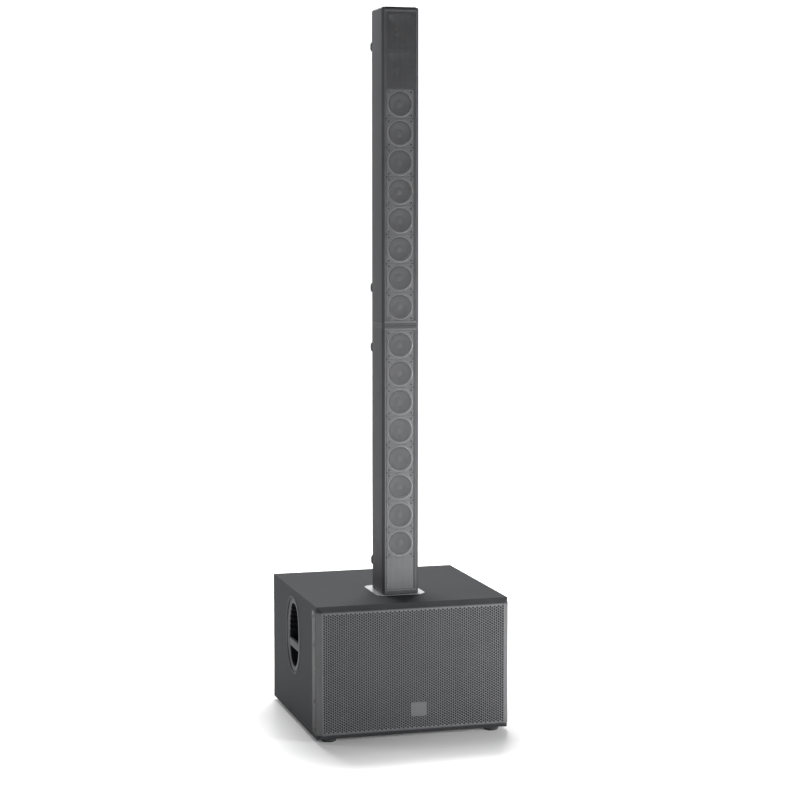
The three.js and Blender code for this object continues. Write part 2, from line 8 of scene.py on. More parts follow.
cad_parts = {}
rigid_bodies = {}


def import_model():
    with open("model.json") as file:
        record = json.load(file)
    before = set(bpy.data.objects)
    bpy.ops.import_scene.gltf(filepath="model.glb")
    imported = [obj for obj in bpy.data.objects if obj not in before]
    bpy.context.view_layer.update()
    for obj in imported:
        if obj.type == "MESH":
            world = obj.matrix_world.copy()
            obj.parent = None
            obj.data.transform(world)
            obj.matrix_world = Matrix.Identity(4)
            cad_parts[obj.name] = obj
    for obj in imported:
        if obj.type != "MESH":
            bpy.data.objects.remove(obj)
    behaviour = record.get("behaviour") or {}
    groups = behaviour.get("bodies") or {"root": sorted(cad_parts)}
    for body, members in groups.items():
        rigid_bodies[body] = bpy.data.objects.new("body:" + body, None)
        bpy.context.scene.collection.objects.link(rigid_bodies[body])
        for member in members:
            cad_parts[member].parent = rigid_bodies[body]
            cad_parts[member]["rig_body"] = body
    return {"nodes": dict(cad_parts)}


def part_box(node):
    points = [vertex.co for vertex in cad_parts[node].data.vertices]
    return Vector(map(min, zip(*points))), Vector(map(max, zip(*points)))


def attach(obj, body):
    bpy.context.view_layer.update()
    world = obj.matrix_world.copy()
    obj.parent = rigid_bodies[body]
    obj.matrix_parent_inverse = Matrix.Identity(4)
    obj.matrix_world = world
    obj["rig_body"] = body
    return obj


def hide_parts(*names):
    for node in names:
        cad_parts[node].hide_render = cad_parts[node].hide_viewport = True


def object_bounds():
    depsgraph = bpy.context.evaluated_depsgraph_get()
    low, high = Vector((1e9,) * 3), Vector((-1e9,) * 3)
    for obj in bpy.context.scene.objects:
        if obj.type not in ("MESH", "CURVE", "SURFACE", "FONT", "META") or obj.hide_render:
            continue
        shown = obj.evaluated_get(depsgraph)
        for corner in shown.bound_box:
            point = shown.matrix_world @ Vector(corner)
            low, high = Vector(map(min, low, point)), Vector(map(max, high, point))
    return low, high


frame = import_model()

# Column PA system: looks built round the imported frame. Metres, +Z up, front towards -Y.

cad_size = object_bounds()
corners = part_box


# ---- sizes read from the frame -----------------------------------------------------------------

GRILLE_LOW, GRILLE_HIGH = corners("sub_grille")
CABINET_HIGH = corners("sub_cabinet")[1]
HANDLE_LOW, HANDLE_HIGH = corners("handle_right")
PANEL_LOW, PANEL_HIGH = corners("amp_panel")
BADGE_LOW, BADGE_HIGH = corners("badge")

# Column cross-section, shared by housings and caps
COLUMN_EDGE = 0.008
COLUMN_WALL = 0.003
DRIVER_PITCH = 0.094
DRIVERS = 8
TAU = 2 * math.pi

# Head radii of the screws
GRILLE_SCREW = 0.0048
FOOT_SCREW = 0.0055
DRIVER_SCREW = 0.0036
HORN_SCREW = 0.0034
SUB_DRIVER_SCREW = 0.0042
PANEL_SCREW = 0.0042
SOCKET_SCREW = 0.0016
INLET_SCREW = 0.0026


# ---- outlines ----------------------------------------------------------------------------------

def rounded_polygon(corner_list, steps=6):
    """Outline through (a, b, radius) corners, each one turned into an arc of that radius."""
    points = []
    count = len(corner_list)
    for i, (a, b, radius) in enumerate(corner_list):
        here = Vector((a, b))
        if radius <= 0:
            points.append((a, b))
            continue
        back = (Vector(corner_list[i - 1][:2]) - here).normalized()
        ahead = (Vector(corner_list[(i + 1) % count][:2]) - here).normalized()
        half = back.angle(ahead) / 2
        centre = here + (back + ahead).normalized() * radius / math.sin(half)
        first = here + back * radius / math.tan(half) - centre
        last = here + ahead * radius / math.tan(half) - centre
        start = math.atan2(first.y, first.x)
        sweep = (math.atan2(last.y, last.x) - start + math.pi) % TAU - math.pi
        for k in range(steps + 1):
            angle = start + sweep * k / steps
            points.append((centre.x + radius * math.cos(angle), centre.y + radius * math.sin(angle)))
    return points


def rounded_box(low_a, low_b, high_a, high_b, radius, steps=6):
    box_corners = [(low_a, low_b), (high_a, low_b), (high_a, high_b), (low_a, high_b)]
    return rounded_polygon([(a, b, radius) for a, b in box_corners], steps)


def superellipse(half_a, half_b, power, count, centre=(0.0, 0.0)):
    """Points at even angles round a superellipse; power 2 is an ellipse, higher is squarer."""
    points = []
    for k in range(count):
        angle = TAU * k / count
        c, s = math.cos(angle), math.sin(angle)
        reach = (abs(c / half_a) ** power + abs(s / half_b) ** power) ** (-1 / power)
        points.append((centre[0] + reach * c, centre[1] + reach * s))
    return points


# ---- solids ------------------------------------------------------------------------------------

# How an outline's (a, b) and a depth become a point, for each axis that the depth runs along.
PLANES = {
    "x": lambda a, b, depth: (depth, a, b),
    "y": lambda a, b, depth: (a, depth, b),
    "z": lambda a, b, depth: (a, b, depth),
}


def add_loft(bm, rings, loop=False):
    """Skins rings of equal length. A loop joins the last ring to the first; otherwise both ends close."""
    rows = [[bm.verts.new(point) for point in ring] for ring in rings]
    ahead = rows[1:] + rows[:1] if loop else rows[1:]
    for low, high in zip(rows, ahead):
        for i in range(len(low)):
            bm.faces.new((low[i - 1], low[i], high[i], high[i - 1]))
    if not loop:
        bm.faces.new(rows[0])
        bm.faces.new(rows[-1])


def add_prism(bm, outline, low, high, axis):
    place = PLANES[axis]
    add_loft(bm, [[place(a, b, depth) for a, b in outline] for depth in (low, high)])


def add_block(bm, low, high):
    """A box between two corners."""
    outline = [(low[0], low[1]), (high[0], low[1]), (high[0], high[1]), (low[0], high[1])]
    add_prism(bm, outline, low[2], high[2], "z")


def add_lathe(bm, profile, segments, axis="y", centre=(0.0, 0.0)):
    """Turns (radius, depth) points about an axis; it closes on the axis or back on itself."""
    place = PLANES[axis]
    rows = []
    for radius, depth in profile:
        if radius == 0:
            rows.append([bm.verts.new(place(centre[0], centre[1], depth))])
            continue
        ring = []
        for k in range(segments):
            angle = TAU * k / segments
            a = centre[0] + radius * math.cos(angle)
            b = centre[1] + radius * math.sin(angle)
            ring.append(bm.verts.new(place(a, b, depth)))
        rows.append(ring)
    closed = len(rows[0]) > 1
    for low, high in zip(rows, rows[1:] + rows[:1] if closed else rows[1:]):
        for i in range(segments):
            face = []
            for vert in (low[i - 1 if len(low) > 1 else 0], low[i if len(low) > 1 else 0],
                         high[i if len(high) > 1 else 0], high[i - 1 if len(high) > 1 else 0]):
                if vert not in face:
                    face.append(vert)
            bm.faces.new(face)


def arc_profile(centre_radius, centre_depth, size, start, end, steps):
    """(radius, depth) points along an arc, angles in degrees, 0 pointing away from the axis."""
    points = []
    for k in range(steps + 1):
        angle = math.radians(start + (end - start) * k / steps)
        points.append((centre_radius + size * math.cos(angle), centre_depth + size * math.sin(angle)))
    return points


def add_screw(bm, at, outward, radius):
    """Button-head screw with a six-lobed recess, its seat at a point and its head facing outward."""
    count = 24
    height = 0.55 * radius
    turn = Vector(outward).to_track_quat("Z", "Y").to_matrix().to_4x4()
    pose = Matrix.Translation(at) @ turn

    def ring(reach, lift, lobes=0.0):
        points = []
        for k in range(count):
            angle = TAU * k / count
            size = radius * (reach + lobes * math.cos(6 * angle))
            points.append(pose @ Vector((size * math.cos(angle), size * math.sin(angle), height * lift)))
        return points

    add_loft(bm, [
        ring(1.0, 0.0), ring(1.0, 0.25), ring(0.93, 0.62), ring(0.78, 0.88), ring(0.6, 1.0),
        ring(0.42, 1.0, 0.07), ring(0.38, 0.45, 0.06), ring(0.1, 0.4),
    ])


# ---- objects -----------------------------------------------------------------------------------

def closed_mesh(bm, name, sharp_deg=35):
    bmesh.ops.recalc_face_normals(bm, faces=bm.faces)
    mesh = bpy.data.meshes.new(name)
    bm.to_mesh(mesh)
    bm.free()
    smooth_mesh(mesh, sharp_deg)
    return mesh


def smooth_mesh(mesh, sharp_deg=35):
    mesh.polygons.foreach_set("use_smooth", [True] * len(mesh.polygons))
    mesh.set_sharp_from_angle(angle=math.radians(sharp_deg))


def show(name, mesh, body, material, replaces=(), location=(0, 0, 0)):
    """Puts a mesh in the scene, riding on a body, and has it stand for any CAD nodes it replaces."""
    piece = bpy.data.objects.new(name, mesh)
    bpy.context.scene.collection.objects.link(piece)
    piece.location = location
    if material is not None and not mesh.materials:
        mesh.materials.append(material)
    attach(piece, body)
    if replaces:
        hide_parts(*replaces)
    return piece


def soften(piece, width):
    """Rounds the sharp edges of a piece."""
    bevel = piece.modifiers.new("rounded_edges", "BEVEL")
    bevel.width = width
    bevel.segments = 2
    bevel.limit_method = "ANGLE"
    bevel.angle_limit = math.radians(30)
    bevel.harden_normals = True
    return piece


def refine(node, material, rounding):
    """Shows a CAD node with its flat faces made whole and its edges rounded."""
    source = frame["nodes"][node]
    bm = bmesh.new()
    verts = [bm.verts.new(vertex.co) for vertex in source.data.vertices]
    for polygon in source.data.polygons:
        bm.faces.new([verts[i] for i in polygon.vertices])
    bmesh.ops.remove_doubles(bm, verts=bm.verts, dist=1e-6)
    bmesh.ops.dissolve_limit(bm, angle_limit=math.radians(0.5), verts=bm.verts, edges=bm.edges)
    name = f"{node}_finished"
    piece = show(name, closed_mesh(bm, name), source["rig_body"], material, [node])
    return soften(piece, rounding)


# ---- materials ---------------------------------------------------------------------------------

BROAD_SCALE = 9
FINE_SHARE = 0.4


def surface(name, color, roughness, metallic=0.0, grain=900, depth=0.0001, mottle=0.12,
            stretch=(1, 1, 1), spread=0.06, specular=0.5, coat=0.0):
    """Procedural finish: fine grain in the bump and roughness, broad and fine variation in colour."""
    material = bpy.data.materials.new(name)
    material.use_nodes = True
    nodes, links = material.node_tree.nodes, material.node_tree.links
    shader = nodes["Principled BSDF"]
    shader.inputs["Metallic"].default_value = metallic
    shader.inputs["Specular IOR Level"].default_value = specular
    shader.inputs["Coat Weight"].default_value = coat

    place = nodes.new("ShaderNodeTexCoord")
    mapping = nodes.new("ShaderNodeMapping")
    mapping.inputs["Scale"].default_value = stretch
    links.new(place.outputs["Object"], mapping.inputs["Vector"])

    def noise(scale, detail):
        node = nodes.new("ShaderNodeTexNoise")
        node.inputs["Scale"].default_value = scale
        node.inputs["Detail"].default_value = detail
        node.inputs["Roughness"].default_value = 0.6
        links.new(mapping.outputs["Vector"], node.inputs["Vector"])
        return node.outputs["Fac"]

    fine, broad = noise(grain, 3), noise(BROAD_SCALE, 4)
    blend = nodes.new("ShaderNodeMath")
    blend.operation = "MULTIPLY_ADD"
    blend.inputs[1].default_value = FINE_SHARE
    links.new(fine, blend.inputs[0])
    half = nodes.new("ShaderNodeMath")
    half.operation = "MULTIPLY"
    half.inputs[1].default_value = 1 - FINE_SHARE
    links.new(broad, half.inputs[0])
    links.new(half.outputs[0], blend.inputs[2])

    ramp = nodes.new("ShaderNodeValToRGB")
    ramp.color_ramp.elements[0].position = 0.3
    ramp.color_ramp.elements[1].position = 0.7
    for element, share in zip(ramp.color_ramp.elements, (1 - mottle, 1 + mottle)):
        element.color = (*[min(1.0, channel * share) for channel in color], 1)
    links.new(blend.outputs[0], ramp.inputs["Fac"])
    links.new(ramp.outputs["Color"], shader.inputs["Base Color"])

    rough = nodes.new("ShaderNodeMapRange")
    rough.inputs["From Min"].default_value = 0.3
    rough.inputs["From Max"].default_value = 0.7
    rough.inputs["To Min"].default_value = roughness - spread
    rough.inputs["To Max"].default_value = roughness + spread
    links.new(blend.outputs[0], rough.inputs["Value"])
    links.new(rough.outputs["Result"], shader.inputs["Roughness"])

    bump = nodes.new("ShaderNodeBump")
    bump.inputs["Strength"].default_value = 1.0
    bump.inputs["Distance"].default_value = depth
    links.new(fine, bump.inputs["Height"])
    links.new(bump.outputs["Normal"], shader.inputs["Normal"])
    return material


PAINT = surface("textured_black_paint", (0.033, 0.034, 0.036), 0.78, grain=650, depth=0.00030,
                mottle=0.22, specular=0.10)
SHEET = surface("powder_coated_steel", (0.088, 0.089, 0.092), 0.50, 0.3, grain=1400, depth=0.00006,
                specular=0.25)
# Darker copy of the grille sheet's coat for its side flanges: painted shade on the faces turned away from
# the light.
SHADED_FLANGE = surface("flange_painted_shade", (0.040, 0.041, 0.043), 0.6, grain=1400, depth=0.00006,
                 specular=0.12)
COLUMN_SHEET = surface("column_grille_coat", (0.098, 0.099, 0.102), 0.48, 0.5, grain=1400,
                       depth=0.00006, specular=0.3)
COAT = surface("column_powder_coat", (0.046, 0.047, 0.050), 0.6, grain=1100, depth=0.00010,
               specular=0.12)
CAP_MOULD = surface("cap_moulding", (0.062, 0.063, 0.066), 0.6, grain=1300, depth=0.00010,
                    specular=0.12)
MOULD = surface("grained_moulding", (0.034, 0.034, 0.036), 0.6, grain=1500, depth=0.00010,
                specular=0.15)
HANDLE = surface("handle_moulding", (0.046, 0.047, 0.050), 0.6, grain=1300, depth=0.00010,
                 specular=0.15)
# Near-black coat for the deep faces of the handle pockets: painted shade where the inside of each recess
# falls in shadow.
POCKET_SHADE = surface("pocket_painted_shade", (0.006, 0.006, 0.007), 0.7, grain=1300, depth=0.00010,
                 specular=0.1)
HORN = surface("horn_moulding", (0.022, 0.022, 0.024), 0.45, grain=1500, depth=0.00004)
SOCKET = surface("socket_nylon", (0.015, 0.015, 0.016), 0.38, grain=1800, depth=0.00004)
CONTROL = surface("control_plastic", (0.020, 0.020, 0.022), 0.42, grain=1600, depth=0.00006)
FRAME = surface("driver_frame_coat", (0.30, 0.304, 0.312), 0.42, 0.25, grain=1200, depth=0.00005)
RING = surface("driver_trim_ring", (0.62, 0.625, 0.635), 0.38, 0.3, grain=1200, depth=0.00004)
CONE = surface("pressed_cone", (0.20, 0.202, 0.208), 0.5, grain=700, depth=0.00012, mottle=0.25)
SUB_CONE = surface("paper_cone", (0.040, 0.040, 0.042), 0.7, grain=500, depth=0.00020, mottle=0.3)
SURROUND = surface("rubber_surround", (0.10, 0.10, 0.102), 0.5, grain=1500, depth=0.00003)
MAGNET = surface("motor_steel", (0.10, 0.10, 0.105), 0.4, 0.6, grain=600, depth=0.00005)
FOAM = surface("grille_foam", (0.012, 0.012, 0.013), 0.95, grain=420, depth=0.0012, mottle=0.5)
PANEL = surface("panel_coat", (0.022, 0.022, 0.024), 0.45, 0.1, grain=1500, depth=0.00005)
SINK = surface("black_anodised", (0.020, 0.020, 0.022), 0.35, 0.7, stretch=(30, 30, 1), grain=60)
BRUSHED = surface("brushed_aluminium", (0.52, 0.525, 0.535), 0.30, 1.0, stretch=(1, 40, 40), grain=40,
                 depth=0.000003, mottle=0.06, spread=0.03)
BADGE = surface("satin_badge", (0.085, 0.086, 0.090), 0.42, 0.4, stretch=(1, 30, 30), grain=90,
                depth=0.00003)
ZINC = surface("zinc_screw", (0.62, 0.63, 0.65), 0.28, 1.0, grain=900, depth=0.00003, mottle=0.1)
BLACK_SCREW = surface("black_screw", (0.025, 0.025, 0.027), 0.4, 0.6, grain=900, depth=0.00003)
RUBBER = surface("moulded_rubber", (0.016, 0.016, 0.017), 0.75, grain=900, depth=0.00012)
BLACK_PLY = surface("stained_ply", (0.020, 0.020, 0.021), 0.7, stretch=(3, 40, 40), grain=20,
                    depth=0.0002)
BOARD = surface("circuit_laminate", (0.018, 0.09, 0.04), 0.35, grain=500, depth=0.00005, mottle=0.3)
PRINT = surface("white_print", (0.62, 0.62, 0.63), 0.5, grain=1200, depth=0.00001)
LENS_GREEN = surface("green_lens", (0.05, 0.35, 0.09), 0.2, grain=900, depth=0.00001, coat=0.5)
LENS_RED = surface("red_lens", (0.40, 0.03, 0.02), 0.2, grain=900, depth=0.00001, coat=0.5)


# ---- perforated sheet --------------------------------------------------------------------------

def perforated_mesh(name, columns, rows, pitch, hole, edge_lines, end_border, place):
    """Sheet with staggered hexagonal holes. place(u, v) puts a point of the flat sheet in space.

    Each hole sits in an upright rectangle, and odd columns are half a pitch lower, so the outline
    is a plain rectangle. edge_lines gives the sheet's further u lines beyond the last column.
    """
    step = pitch * math.sqrt(3) / 2
    half_width = columns * step / 2
    half_height = rows * pitch / 2
    verts, faces, index = [], [], {}

    def grid(i, k):
        """Vertex on column line i at half-pitch k; lines outside the columns are edge lines."""
        key = (i, k)
        if key not in index:
            if i < 0:
                u = -edge_lines[-i - 1]
            elif i > columns:
                u = edge_lines[i - columns - 1]
            else:
                u = i * step - half_width
            if k < 0:
                v = -half_height - end_border
            elif k > 2 * rows:
                v = half_height + end_border
            else:
                v = k * pitch / 2 - half_height
            index[key] = len(verts)
            verts.append(place(u, v))
        return index[key]

    def hexagon(i, k):
        """The six corners of the hole in column i centred at half-pitch k."""
        u, v = (i + 0.5) * step - half_width, k * pitch / 2 - half_height
        first = len(verts)
        for turn in range(6):
            angle = math.radians(60 * turn)
            verts.append(place(u + hole * math.cos(angle), v + hole * math.sin(angle)))
        return [first + turn for turn in range(6)]

    for i in range(columns):
        odd = i % 2
        for k in range(1 + odd, 2 * rows - odd + 1, 2):
            rim = hexagon(i, k)
            frame_points = [grid(i + 1, k), grid(i + 1, k + 1), grid(i, k + 1),
                            grid(i, k), grid(i, k - 1), grid(i + 1, k - 1)]
            for turn in range(6):
                ahead = (turn + 1) % 6
                faces.append((rim[turn], frame_points[turn], frame_points[ahead], rim[ahead]))
        if odd:
            for k in (0, 2 * rows - 1):
                faces.append((grid(i, k), grid(i + 1, k), grid(i + 1, k + 1), grid(i, k + 1)))
        for k in (-1, 2 * rows):
            faces.append((grid(i, k), grid(i + 1, k), grid(i + 1, k + 1), grid(i, k + 1)))
    last = len(edge_lines)
    side_lines = list(range(-last, 0)) + list(range(columns, columns + last))
    for i in side_lines:
        for k in range(-1, 2 * rows + 1):
            faces.append((grid(i, k), grid(i + 1, k), grid(i + 1, k + 1), grid(i, k + 1)))
    mesh = bpy.data.meshes.new(name)
    mesh.from_pydata(verts, [], faces)
    mesh.update()
    return mesh


def thicken(piece, thickness):
    """Gives a sheet its thickness, behind its front face."""
    solid = piece.modifiers.new("sheet_thickness", "SOLIDIFY")
    solid.thickness = thickness
    solid.offset = -1
    return piece


# ---- subwoofer: grille -------------------------------------------------------------------------

SUB_PITCH = 0.0085
SUB_COLUMNS = 83
SUB_ROWS = 46
SUB_HOLE = 0.0036
SUB_SHEET = 0.0013
BEVEL = 0.0166
BEND = 0.0008
FOAM_GAP = 0.0006
FOAM_THICKNESS = 0.003
FOAM_INSET = 0.004
GRILLE_SCREW_COUNT = 5
GRILLE_SCREW_LOWEST = 0.0415
GRILLE_SCREW_PITCH = 0.093


def sub_fold(u, v):
    """Wraps the flat sheet round the cabinet: front, 45-degree bevel, then the side flange."""
    flat = GRILLE_HIGH.x - BEVEL
    slope = BEVEL * math.sqrt(2)
    side = 1 if u > 0 else -1
    past = abs(u) - flat
    z = (GRILLE_LOW.z + GRILLE_HIGH.z) / 2 + v
    if past <= 0:
        return (u, GRILLE_LOW.y, z)
    if past <= slope:
        share = past / math.sqrt(2)
        return (side * (flat + share), GRILLE_LOW.y + share, z)
    return (side * GRILLE_HIGH.x, GRILLE_LOW.y + BEVEL + past - slope, z)


def make_sub_grille():
    flat = GRILLE_HIGH.x - BEVEL
    slope = BEVEL * math.sqrt(2)
    flange = GRILLE_HIGH.y - GRILLE_LOW.y - BEVEL
    lines = [flat - BEND, flat + BEND, flat + slope - BEND, flat + slope + BEND,
             flat + slope + flange]
    border = ((GRILLE_HIGH.z - GRILLE_LOW.z) - SUB_ROWS * SUB_PITCH) / 2
    mesh = perforated_mesh("sub_grille_perforated", SUB_COLUMNS, SUB_ROWS, SUB_PITCH, SUB_HOLE,
                           lines, border, sub_fold)
    smooth_mesh(mesh, 50)
    # The side flanges of this same sheet take the darker copy of its coat: painted shade.
    for material in (SHEET, SHADED_FLANGE):
        mesh.materials.append(material)
    for polygon in mesh.polygons:
        polygon.material_index = int(abs(polygon.center.x) > GRILLE_HIGH.x - BEND)
    piece = show("sub_grille_perforated", mesh, "subwoofer", None, ["sub_grille"])
    thicken(piece, SUB_SHEET)

    foam = bmesh.new()
    front = GRILLE_LOW.y + SUB_SHEET + FOAM_GAP
    reach = flat - FOAM_INSET
    outline = rounded_box(-reach, GRILLE_LOW.z + FOAM_INSET, reach, GRILLE_HIGH.z - FOAM_INSET,
                          FOAM_INSET)
    add_prism(foam, outline, front, front + FOAM_THICKNESS, "y")
    show("sub_grille_foam", closed_mesh(foam, "sub_grille_foam"), "subwoofer", FOAM)


def make_grille_screws():
    """Screws down each side flange, kept inside the cabinet's width."""
    screws = bmesh.new()
    y = (GRILLE_LOW.y + BEVEL + GRILLE_HIGH.y) / 2
    sunk = 0.0002
    for side in (-1, 1):
        for i in range(GRILLE_SCREW_COUNT):
            at = (side * (GRILLE_HIGH.x - sunk), y, GRILLE_SCREW_LOWEST + i * GRILLE_SCREW_PITCH)
            add_screw(screws, at, (side, 0, 0), GRILLE_SCREW)
    mesh = closed_mesh(screws, "grille_screws")
    for vertex in mesh.vertices:
        vertex.co.x = max(cad_size[0][0], min(cad_size[1][0], vertex.co.x))
    show("grille_screws", mesh, "subwoofer", ZINC)


def make_badge():
    plate = bmesh.new()
    corner_radius, clearance = 0.004, 0.0001
    outline = rounded_box(BADGE_LOW.x, BADGE_LOW.z, BADGE_HIGH.x, BADGE_HIGH.z, corner_radius)
    add_prism(plate, outline, BADGE_LOW.y + clearance, BADGE_HIGH.y, "y")
    mesh = closed_mesh(plate, "badge_plate")
    piece = show("badge_plate", mesh, "subwoofer", BADGE, ["badge"])
    soften(piece, 0.0003)


# ---- subwoofer: cabinet, handles, docking plate and feet ---------------------------------------

POCKET_HALF_Y = 0.064
POCKET_HALF_Z = 0.107
HANDLE_POWER = 2.35
GRIP_LOW, GRIP_HIGH, GRIP_RIDGES = 0.292, 0.378, 5
BAR_LOW, BAR_HIGH = 0.243, 0.270
POCKET_LIP = 0.0064


def grip_at(y, z, centre_y):
    """Height of the finger ridges, 0 to 1, on the rear edge of the upper pocket."""
    if y < centre_y or not GRIP_LOW < z < GRIP_HIGH:
        return 0.0
    return 0.5 - 0.5 * math.cos(TAU * GRIP_RIDGES * (z - GRIP_LOW) / (GRIP_HIGH - GRIP_LOW))


def handle_rings(side):
    """Rings from the flange's edge down into the pocket, and back up outside the cup."""
    centre = ((HANDLE_LOW.y + HANDLE_HIGH.y) / 2, (HANDLE_LOW.z + HANDLE_HIGH.z) / 2)
    half_y = (HANDLE_HIGH.y - HANDLE_LOW.y) / 2
    half_z = (HANDLE_HIGH.z - HANDLE_LOW.z) / 2
    face = HANDLE_HIGH.x
    rim = face - CABINET_HIGH.x - 0.0002
    floor = face - HANDLE_LOW.x - 0.003

    def ring(share, depth, grips=0.0, grow=0.0):
        """Fullened ellipse between the flange's edge, share 0, and the pocket's, share 1."""
        a = half_y + (POCKET_HALF_Y - half_y) * share + grow
        b = half_z + (POCKET_HALF_Z - half_z) * share + grow
        points = superellipse(a, b, HANDLE_POWER, 288, centre)
        return [(side * (face - depth), y - grips * grip_at(y, z, centre[0]), z) for y, z in points]

    return [
        ring(0.0, rim), ring(0.0, 0.0006), ring(0.02, 0.0), ring(0.10, 0.0), ring(0.14, 0.0007),
        ring(0.20, 0.0022), ring(0.32, 0.0034), ring(0.60, 0.0040), ring(0.92, 0.0044),
        ring(0.97, 0.0048, 0.003), ring(1.0, POCKET_LIP, 0.006), ring(1.01, 0.012, 0.006),
        ring(1.02, 0.026, 0.006), ring(1.10, floor - 0.008, 0.003), ring(1.25, floor - 0.001),
        ring(1.40, floor), ring(1.40, floor + 0.0028), ring(1.0, floor + 0.0028, 0, 0.0015),
        ring(1.0, 0.011, 0, 0.0032), ring(0.20, 0.011), ring(0.20, rim),
    ]


def make_handle(label, side):
    """Dished flange and cup, its floor, and the bar across it."""
    centre_y, centre_z = (HANDLE_LOW.y + HANDLE_HIGH.y) / 2, (HANDLE_LOW.z + HANDLE_HIGH.z) / 2
    cup = bmesh.new()
    add_loft(cup, handle_rings(side), loop=True)
    half_y, half_z = POCKET_HALF_Y - 0.016, POCKET_HALF_Z - 0.010
    floor = superellipse(half_y, half_z, HANDLE_POWER, 72, (centre_y, centre_z))
    inner, outer = HANDLE_LOW.x + 0.0029, HANDLE_LOW.x + 0.0004
    add_loft(cup, [[(side * x, y, z) for y, z in floor] for x in (inner, outer)])
    bar_z = (BAR_LOW + BAR_HIGH) / 2
    reach = POCKET_HALF_Y + 0.0005
    bar = rounded_box(centre_y - reach, BAR_LOW, centre_y + reach, BAR_HIGH, 0.003)
    rings = []
    for inset, x in ((0.0025, HANDLE_HIGH.x - 0.0048), (0.0007, HANDLE_HIGH.x - 0.0055),
                     (0.0, HANDLE_HIGH.x - 0.007), (0.0, HANDLE_HIGH.x - 0.014)):
        rings.append([(side * x, y, z + inset * (bar_z - z) / (BAR_HIGH - bar_z)) for y, z in bar])
    add_loft(cup, rings)
    name = f"handle_{label}_recess"
    mesh = closed_mesh(cup, name, 40)
    for material in (HANDLE, POCKET_SHADE):
        mesh.materials.append(material)
    # Faces deep inside the pocket take the near-black coat: painted shade in the recess.
    inside = HANDLE_HIGH.x - POCKET_LIP - 0.001
    for polygon in mesh.polygons:
        on_bar = BAR_LOW - 0.001 < polygon.center.z < BAR_HIGH + 0.001
        across = abs(polygon.center.y - centre_y) / (POCKET_HALF_Y + 0.0025)
        upright = abs(polygon.center.z - centre_z) / (POCKET_HALF_Z + 0.0025)
        at_pocket = across ** HANDLE_POWER + upright ** HANDLE_POWER < 1
        deep = abs(polygon.center.x) < (inside - 0.008 if on_bar else inside)
        polygon.material_index = int(deep and at_pocket)
    show(name, mesh, "subwoofer", None, [f"handle_{label}"])


def make_foot(label):
    low, high = corners(f"foot_{label}")
    centre = ((low.x + high.x) / 2, (low.y + high.y) / 2)
    radius, height = (high.x - low.x) / 2, high.z
    shape = bmesh.new()
    profile = [(0, height), (radius - 0.001, height), (radius, height - 0.001), (radius - 0.0025, 0.0012),
               (radius - 0.0037, 0.0), (0.011, 0.0), (0.010, 0.0008), (0.0095, 0.005), (0, 0.005)]
    add_lathe(shape, profile, 48, "z", centre)
    name = f"rubber_foot_{label}"
    show(name, closed_mesh(shape, name), "subwoofer", RUBBER, [f"foot_{label}"])
    washer = bmesh.new()
    add_screw(washer, (centre[0], centre[1], 0.0049), (0, 0, -1), FOOT_SCREW)
    name = f"foot_screw_{label}"
    show(name, closed_mesh(washer, name), "subwoofer", ZINC)


# ---- drivers -----------------------------------------------------------------------------------

FRAME_THICKNESS = 0.0035
FRAME_GAP = 0.0004
TRIM_RING = 0.0437
SURROUND_INNER = 0.0325
DRIVER_SCREW_AT = 0.0378
MOTOR_RADIUS = 0.028
BASKET_RADIUS = 0.0404


def frame_mesh():
    """Square driver frame with rounded corners and a raised ring."""
    front = corners("lower_woofer_frames")[0].y
    back = front + FRAME_THICKNESS
    half = DRIVER_PITCH / 2 - FRAME_GAP
    count = 96
    bm = bmesh.new()

    def square(y, inset=0.0):
        return [(a, y, b) for a, b in superellipse(half - inset, half - inset, 14, count)]

    def circle(radius, y):
        return [(a, y, b) for a, b in superellipse(radius, radius, 2, count)]

    add_loft(bm, [
        square(back), square(front + 0.0006), square(front, 0.0006), circle(0.0442, front),
        circle(0.0436, front - 0.0014), circle(0.0428, front - 0.0018), circle(0.0402, front - 0.0018),
        circle(0.0394, front - 0.0010), circle(0.0388, back),
    ], loop=True)
    return two_tone(closed_mesh(bm, "driver_frame", 30), TRIM_RING, (RING, FRAME))


def basket_mesh():
    low, high = corners("lower_woofer_frames")
    rim = low.y + 0.0036
    bm = bmesh.new()
    add_lathe(bm, [
        (0, high.y), (MOTOR_RADIUS - 0.0005, high.y), (MOTOR_RADIUS, high.y - 0.0005),
        (MOTOR_RADIUS, high.y - 0.010),
        (0.0255, high.y - 0.0102), (0.0255, high.y - 0.017), (0.0285, high.y - 0.018),
        (BASKET_RADIUS, high.y - 0.040), (BASKET_RADIUS, rim),
        (BASKET_RADIUS - 0.0014, rim), (BASKET_RADIUS - 0.0014, high.y - 0.039),
        (0.0260, high.y - 0.020), (0, high.y - 0.020),
    ], 40)
    return closed_mesh(bm, "driver_basket")


def two_tone(mesh, limit, materials, centre=(0.0, 0.0)):
    """The first material inside the limit radius, the second outside it."""
    for material in materials:
        mesh.materials.append(material)
    for polygon in mesh.polygons:
        reach = math.hypot(polygon.center.x - centre[0], polygon.center.z - centre[1])
        polygon.material_index = int(reach > limit)
    return mesh


